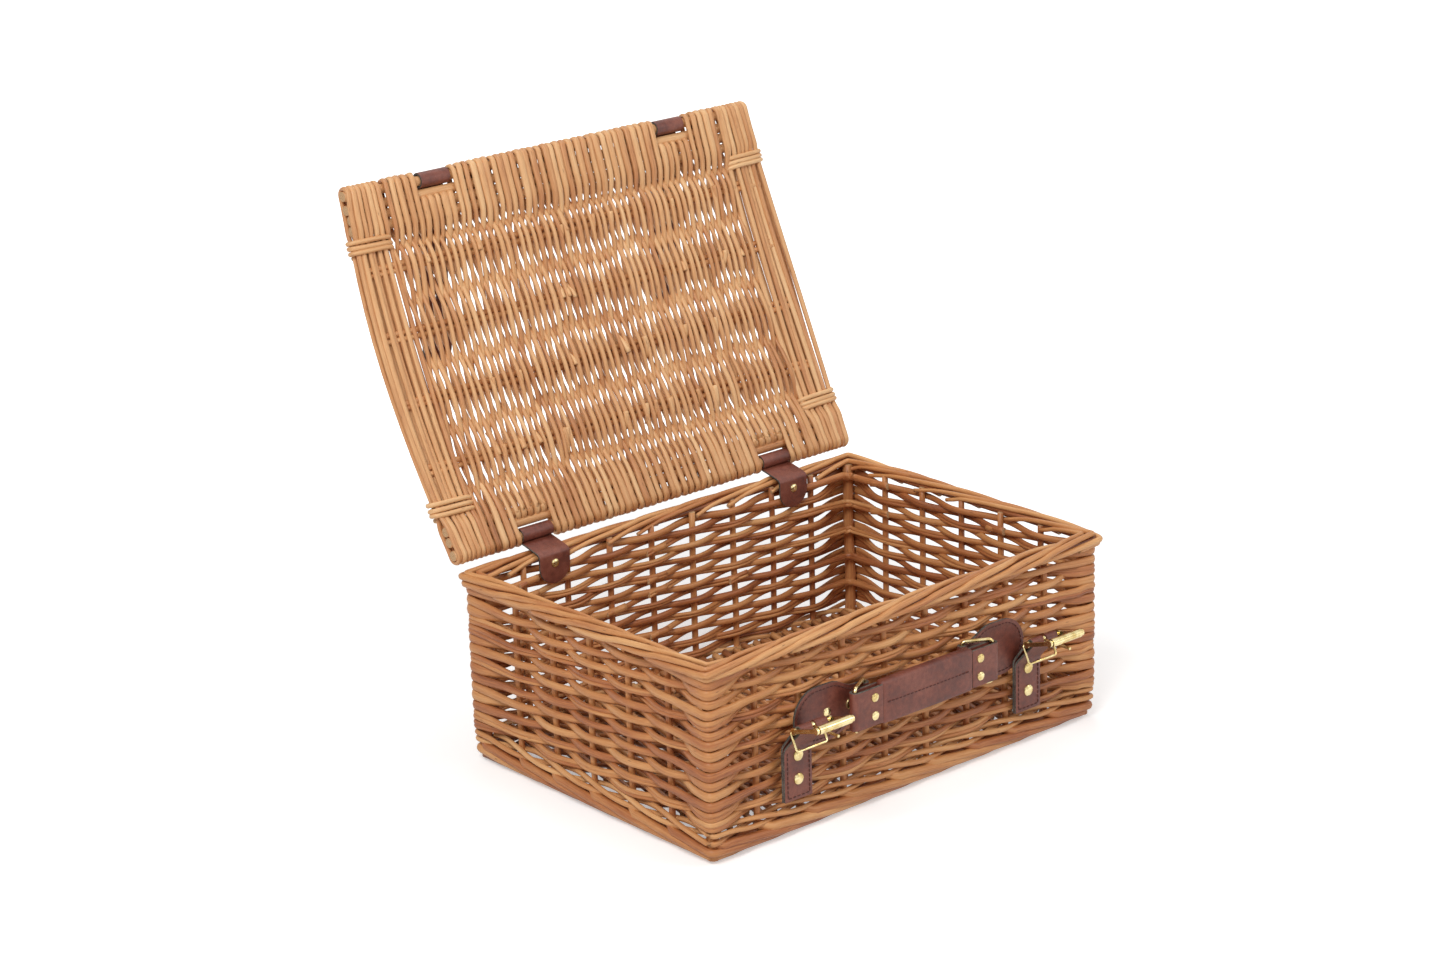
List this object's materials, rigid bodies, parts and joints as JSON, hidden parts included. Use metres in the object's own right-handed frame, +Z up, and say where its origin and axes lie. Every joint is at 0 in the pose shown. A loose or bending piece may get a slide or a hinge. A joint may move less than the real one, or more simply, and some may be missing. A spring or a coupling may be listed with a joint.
{
  "type": "woven willow hamper",
  "caption": "Rectangular woven willow hamper, shown open: hinged woven lid, leather closing straps, roller buckles and a leather carrying handle on rings.",
  "frame": {"origin": "under the middle of the whole piece, on the surface that it stands on, with the open lid and the front fittings counted in", "axes": "+Z up; the front with the buckles and the handle faces -Y; +X is to the right of someone who faces the front; the open lid leans back towards +Y"},
  "size_m": [0.4016, 0.4493, 0.421],
  "materials": {
    "wall_willow": "woven buff willow rods, warm orange brown, satin bark sheen",
    "lid_willow": "woven buff willow rods, lighter tan, satin",
    "base_willow": "woven and twisted willow rods, darker red brown, satin",
    "leather": "dark red brown leather, semi gloss, stitched, grey black cut edges",
    "brass": "polished yellow brass"
  },
  "bodies": {
    "basket": {"base_sticks": "base_willow", "base_weave": "base_willow", "foot_border": "base_willow", "corner_posts": "wall_willow", "wall_stakes": "wall_willow", "weave_front": "wall_willow", "weave_back": "wall_willow", "weave_left": "wall_willow", "weave_right": "wall_willow", "top_border": "wall_willow", "hinge_straps": "leather", "hinge_rivets": "brass", "buckle_chapes": "leather", "chape_rivets": "brass", "handle_plates": "leather", "plate_rivets": "brass", "plate_eyelets": "brass"},
    "lid": {"lid_hinge_rod": "lid_willow", "lid_back_rods": "lid_willow", "lid_front_rods": "lid_willow", "lid_cross_sticks": "lid_willow", "lid_weave": "lid_willow", "lid_side_rods": "lid_willow", "lid_ties": "lid_willow"},
    "strap_left": {"closing_strap_left": "leather"},
    "keeper_left": {"keeper_left": "brass"},
    "buckle_left": {"buckle_frame_left": "brass"},
    "roller_left": {"buckle_roller_left": "brass"},
    "prong_left": {"buckle_prong_left": "brass"},
    "ring_left": {"handle_ring_left": "brass"},
    "strap_right": {"closing_strap_right": "leather"},
    "keeper_right": {"keeper_right": "brass"},
    "buckle_right": {"buckle_frame_right": "brass"},
    "roller_right": {"buckle_roller_right": "brass"},
    "prong_right": {"buckle_prong_right": "brass"},
    "ring_right": {"handle_ring_right": "brass"},
    "handle": {"handle_grip": "leather", "handle_rivets": "brass"}
  },
  "joints": [
    {"name": "lid_hinge", "type": "hinge", "parent": "basket", "child": "lid", "pos_m": [0, 0.1028, 0.161], "axis": [1, 0, 0], "range_deg": [0, 114]},
    {"name": "strap_swing_left", "type": "hinge", "parent": "lid", "child": "strap_left", "pos_m": [-0.116, 0.21587, 0.41497], "axis": [1, 0, 0], "range_deg": [0, 170]},
    {"name": "keeper_tilt_left", "type": "hinge", "parent": "basket", "child": "keeper_left", "pos_m": [-0.116, -0.1919, 0.08856], "axis": [1, 0, 0], "range_deg": [-25, 0]},
    {"name": "buckle_tilt_left", "type": "hinge", "parent": "basket", "child": "buckle_left", "pos_m": [-0.116, -0.1982, 0.091], "axis": [1, 0, 0], "range_deg": [-40, 30]},
    {"name": "roller_spin_left", "type": "hinge", "parent": "buckle_left", "child": "roller_left", "pos_m": [-0.116, -0.22115, 0.09802], "axis": [1, 0, 0], "continuous": true},
    {"name": "prong_tilt_left", "type": "hinge", "parent": "buckle_left", "child": "prong_left", "pos_m": [-0.116, -0.1982, 0.091], "axis": [1, 0, 0], "range_deg": [-4, 10]},
    {"name": "strap_swing_right", "type": "hinge", "parent": "lid", "child": "strap_right", "pos_m": [0.116, 0.21587, 0.41497], "axis": [1, 0, 0], "range_deg": [0, 170]},
    {"name": "keeper_tilt_right", "type": "hinge", "parent": "basket", "child": "keeper_right", "pos_m": [0.116, -0.1919, 0.08856], "axis": [1, 0, 0], "range_deg": [-25, 0]},
    {"name": "buckle_tilt_right", "type": "hinge", "parent": "basket", "child": "buckle_right", "pos_m": [0.116, -0.1982, 0.091], "axis": [1, 0, 0], "range_deg": [-40, 30]},
    {"name": "roller_spin_right", "type": "hinge", "parent": "buckle_right", "child": "roller_right", "pos_m": [0.116, -0.22115, 0.09802], "axis": [1, 0, 0], "continuous": true},
    {"name": "prong_tilt_right", "type": "hinge", "parent": "buckle_right", "child": "prong_right", "pos_m": [0.116, -0.1982, 0.091], "axis": [1, 0, 0], "range_deg": [-4, 10]},
    {"name": "handle_pull", "type": "slide", "parent": "basket", "child": "handle", "axis": [0, -1, 0], "range_m": [0, 0.007]},
    {"name": "ring_swing_left", "type": "hinge", "parent": "basket", "child": "ring_left", "pos_m": [-0.04908, -0.18076, 0.086], "axis": [0, 0, 1], "range_deg": [0, 24.5]},
    {"name": "ring_swing_right", "type": "hinge", "parent": "basket", "child": "ring_right", "pos_m": [0.04908, -0.18076, 0.086], "axis": [0, 0, 1], "range_deg": [-24.5, 0]}
  ],
  "couplings": [
    {"joint": "ring_swing_left", "follows": "handle_pull", "rad_per_m": 58.7},
    {"joint": "ring_swing_right", "follows": "handle_pull", "rad_per_m": -58.7}
  ]
}
